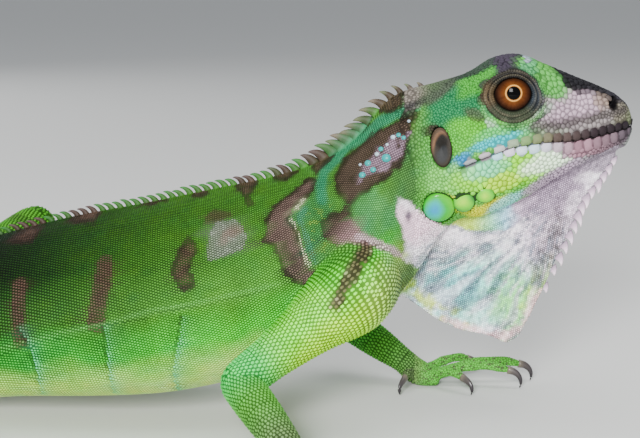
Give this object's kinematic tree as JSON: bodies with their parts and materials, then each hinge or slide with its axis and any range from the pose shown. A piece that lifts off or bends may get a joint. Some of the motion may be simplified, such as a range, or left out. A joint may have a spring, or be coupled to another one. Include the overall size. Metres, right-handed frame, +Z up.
{
  "type": "green iguana model",
  "caption": "Life-size still model of a young green iguana: scaly body crouched on four feet, raised head, hanging dewlap, crest of spines, long tail curled on the floor.",
  "frame": {"origin": "on the floor, under the middle of the whole animal's box, tail included", "axes": "+X to the snout, +Y to the animal's left, +Z up from the floor"},
  "size_m": [0.4696, 0.3284, 0.0977],
  "materials": {
    "skin": "small keeled and flat scales, green and turquoise with brown bars, slight sheen",
    "dewlap": "thin skin of small scales, pink, cream and pale blue-green, slight sheen",
    "claw": "grey-brown horn, half glossy",
    "eye": "wet eye with an orange-brown iris and a round black pupil",
    "eardrum": "thin grey-brown membrane, slight sheen",
    "shield": "smooth domed scale, turquoise to green, glossy"
  },
  "bodies": {
    "root": {"head": "skin", "lower_jaw": "skin", "neck": "skin", "trunk_front": "skin", "trunk_rear": "skin", "tail_1": "skin", "tail_2": "skin", "tail_3": "skin", "tail_4": "skin", "tail_5": "skin", "tail_6": "skin", "dewlap": "dewlap", "upper_arm_left": "skin", "forearm_left": "skin", "hand_left": "skin", "thigh_left": "skin", "shank_left": "skin", "foot_left": "skin", "eye_left": "eye", "eardrum_left": "eardrum", "shield_left": "shield", "claw_hand_left_1": "claw", "claw_hand_left_2": "claw", "claw_hand_left_3": "claw", "claw_hand_left_4": "claw", "claw_hand_left_5": "claw", "claw_foot_left_1": "claw", "claw_foot_left_2": "claw", "claw_foot_left_3": "claw", "claw_foot_left_4": "claw", "claw_foot_left_5": "claw", "upper_arm_right": "skin", "forearm_right": "skin", "hand_right": "skin", "thigh_right": "skin", "shank_right": "skin", "foot_right": "skin", "eye_right": "eye", "eardrum_right": "eardrum", "shield_right": "shield", "claw_hand_right_1": "claw", "claw_hand_right_2": "claw", "claw_hand_right_3": "claw", "claw_hand_right_4": "claw", "claw_hand_right_5": "claw", "claw_foot_right_1": "claw", "claw_foot_right_2": "claw", "claw_foot_right_3": "claw", "claw_foot_right_4": "claw", "claw_foot_right_5": "claw"}
  },
  "joints": []
}
